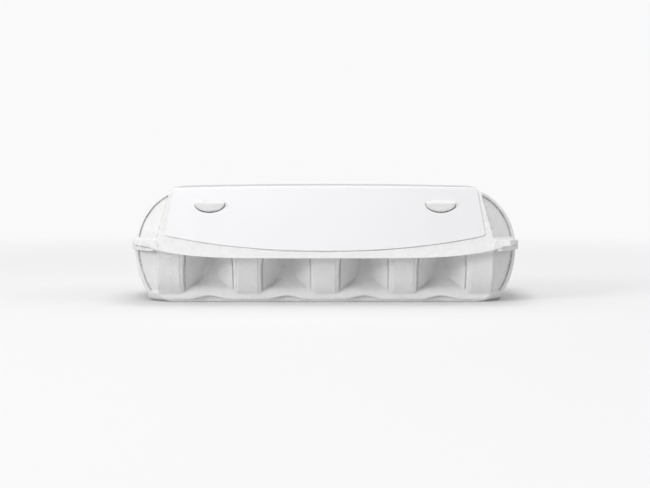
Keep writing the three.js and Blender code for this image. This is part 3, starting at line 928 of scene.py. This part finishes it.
def pulp_material():
    material, tree, shader = new_material("moulded_pulp")
    links = tree.links
    place = tree.nodes.new("ShaderNodeTexCoord").outputs["Object"]
    mottle = node(tree, "ShaderNodeTexNoise", Scale=140.0, Detail=5.0, Roughness=0.6)
    fleck = node(tree, "ShaderNodeTexNoise", Scale=900.0, Detail=3.0, Roughness=0.7)
    fibre = node(tree, "ShaderNodeTexNoise", Scale=420.0, Detail=6.0, Roughness=0.75, Distortion=1.5)
    lumps = node(tree, "ShaderNodeTexVoronoi", Scale=650.0)
    for texture in (mottle, fleck, fibre, lumps):
        links.new(place, texture.inputs["Vector"])
    tone = tone_node(tree, mottle.outputs["Fac"], (0.3, PULP_DARK), (0.7, PULP_PALE))
    speck = tone_node(tree, fleck.outputs["Fac"], (0.27, FLECK_TONE), (0.42, PURE_WHITE))
    # Painted shade: the pulp's colour is darkened in its own hollows and in its crevices and
    # creases.
    hollow = painted_closed_in_shade(tree, PAINTED_HOLLOW_SHADE_REACH, PAINTED_HOLLOW_SHADE_TONE)
    crevice_shade = painted_closed_in_shade(tree, PAINTED_CREVICE_SHADE_REACH, PAINTED_CREVICE_SHADE_TONE)
    shade = math_node(tree, "MULTIPLY", hollow, crevice_shade)
    colour = multiply_node(tree, multiply_node(tree, tone, speck), shade)
    links.new(colour, shader.inputs["Base Color"])
    coarse = node(tree, "ShaderNodeBump", Strength=0.6, Distance=0.0006)
    fine = node(tree, "ShaderNodeBump", Strength=0.5, Distance=0.0003)
    links.new(fibre.outputs["Fac"], coarse.inputs["Height"])
    links.new(lumps.outputs["Distance"], fine.inputs["Height"])
    links.new(coarse.outputs["Normal"], fine.inputs["Normal"])
    links.new(fine.outputs["Normal"], shader.inputs["Normal"])
    shader.inputs["Roughness"].default_value = 0.93
    shader.inputs["Specular IOR Level"].default_value = 0.25
    return material


def paper_material():
    material, tree, shader = new_material("label_paper")
    links = tree.links
    place = tree.nodes.new("ShaderNodeTexCoord").outputs["Object"]
    cloud = node(tree, "ShaderNodeTexNoise", Scale=30.0, Detail=3.0, Roughness=0.5)
    tooth = node(tree, "ShaderNodeTexNoise", Scale=2500.0, Detail=2.0)
    for texture in (cloud, tooth):
        links.new(place, texture.inputs["Vector"])
    tone = tone_node(tree, cloud.outputs["Fac"], (0.0, PAPER_DARK), (1.0, PAPER_PALE))
    links.new(tone, shader.inputs["Base Color"])
    links.new(map_node(tree, cloud.outputs["Fac"], 0.3, 0.4), shader.inputs["Roughness"])
    bump = node(tree, "ShaderNodeBump", Strength=0.15, Distance=0.0001)
    links.new(tooth.outputs["Fac"], bump.inputs["Height"])
    links.new(bump.outputs["Normal"], shader.inputs["Normal"])
    shader.inputs["Specular IOR Level"].default_value = 0.5
    return material


pulp = pulp_material()
paper = paper_material()
for piece in (tray, lid, flap, rear_crease, flap_crease):
    piece.data.materials.append(pulp)
label.data.materials.append(paper)

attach(tray, "tray")
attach(lid, "lid")
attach(flap, "lock_flap")
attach(label, "lid")
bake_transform(rear_crease)
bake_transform(flap_crease)
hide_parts("tray")
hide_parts("lid")
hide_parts("lock_flap")
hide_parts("label")
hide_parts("rear_crease")
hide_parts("flap_crease")


# Floor, world, lights and camera
def seen_floor(tree, place):
    """What the camera sees of the floor: lit, darkened near the carton by a painted contact shade,
    plain and pale far off.
    """
    links = tree.links
    distance = tree.nodes.new("ShaderNodeVectorMath")
    distance.operation = "LENGTH"
    links.new(place, distance.inputs[0])
    near, far = FLOOR_FADE
    fade = node(tree, "ShaderNodeMapRange", From_Min=near, From_Max=far)
    fade.interpolation_type = "SMOOTHSTEP"
    links.new(distance.outputs["Value"], fade.inputs["Value"])
    # Painted shade: the floor's seen colour falls towards the contact tone near the carton.
    contact_shade = node(tree, "ShaderNodeAmbientOcclusion", Distance=PAINTED_CONTACT_SHADE_REACH * MM)
    shaded = node(tree, "ShaderNodeBsdfDiffuse")
    depth = map_node(tree, contact_shade.outputs["AO"], PAINTED_CONTACT_SHADE_TONE, FLOOR_TONE)
    links.new(depth, shaded.inputs["Color"])
    lift = node(tree, "ShaderNodeEmission", Color=FLOOR_LIFT)
    lifted = tree.nodes.new("ShaderNodeAddShader")
    links.new(shaded.outputs["BSDF"], lifted.inputs[0])
    links.new(lift.outputs["Emission"], lifted.inputs[1])
    plain = node(tree, "ShaderNodeEmission", Color=FLOOR_FAR)
    nearby = lifted.outputs["Shader"]
    return choose_shader(tree, fade.outputs["Result"], nearby, plain.outputs["Emission"])


def build_floor():
    corners = [(-1, -1), (1, -1), (1, 1), (-1, 1)]
    points = [(x * FLOOR_REACH, y * FLOOR_REACH, 0) for x, y in corners]
    floor = new_object("floor", points, [(0, 1, 2, 3)])
    material, tree, shader = new_material("floor_white")
    shader.inputs["Base Color"].default_value = FLOOR_BOUNCE
    shader.inputs["Roughness"].default_value = 0.7
    place = tree.nodes.new("ShaderNodeTexCoord").outputs["Object"]
    rays = tree.nodes.new("ShaderNodeLightPath").outputs
    seen = math_node(tree, "MAXIMUM", rays["Is Camera Ray"], rays["Is Glossy Ray"])
    seen = math_node(tree, "MAXIMUM", seen, rays["Is Transmission Ray"])
    surface = choose_shader(tree, seen, shader.outputs["BSDF"], seen_floor(tree, place))
    tree.links.new(surface, tree.nodes["Material Output"].inputs["Surface"])
    floor.data.materials.append(material)


def build_world():
    world = bpy.data.worlds.new("studio")
    bpy.context.scene.world = world
    world.use_nodes = True
    tree = world.node_tree
    lit = tree.nodes["Background"]
    lit.inputs["Color"].default_value = PURE_WHITE
    lit.inputs["Strength"].default_value = WORLD_LIGHT
    seen = node(tree, "ShaderNodeBackground", Color=WORLD_TONE, Strength=WORLD_SEEN)
    rays = tree.nodes.new("ShaderNodeLightPath").outputs
    share = math_node(tree, "MAXIMUM", rays["Is Camera Ray"], rays["Is Transmission Ray"])
    surface = choose_shader(tree, share, lit.outputs["Background"], seen.outputs["Background"])
    tree.links.new(surface, tree.nodes["World Output"].inputs["Surface"])


def area_light(name, place, size, power):
    data = bpy.data.lights.new(name, "AREA")
    data.shape = "RECTANGLE"
    data.size, data.size_y = size
    data.energy = power
    light = bpy.data.objects.new(name, data)
    light.location = place
    direction = Vector(LAMP_TARGET) - Vector(place)
    light.rotation_euler = direction.to_track_quat("-Z", "Y").to_euler()
    bpy.context.scene.collection.objects.link(light)


def build_camera():
    data = bpy.data.cameras.new("camera")
    data.sensor_width = CAMERA_SENSOR
    data.lens = CAMERA_LENS
    camera = bpy.data.objects.new("camera", data)
    camera.location = (CAMERA_ASIDE, SHIFT_Y * MM - CAMERA_DISTANCE, CAMERA_HEIGHT)
    camera.rotation_euler = (math.radians(90 - CAMERA_TILT), 0, 0)
    bpy.context.scene.collection.objects.link(camera)
    bpy.context.scene.camera = camera


build_floor()
build_world()
for lamp in LAMPS:
    area_light(*lamp)
build_camera()
bpy.context.scene.view_settings.view_transform = "Standard"
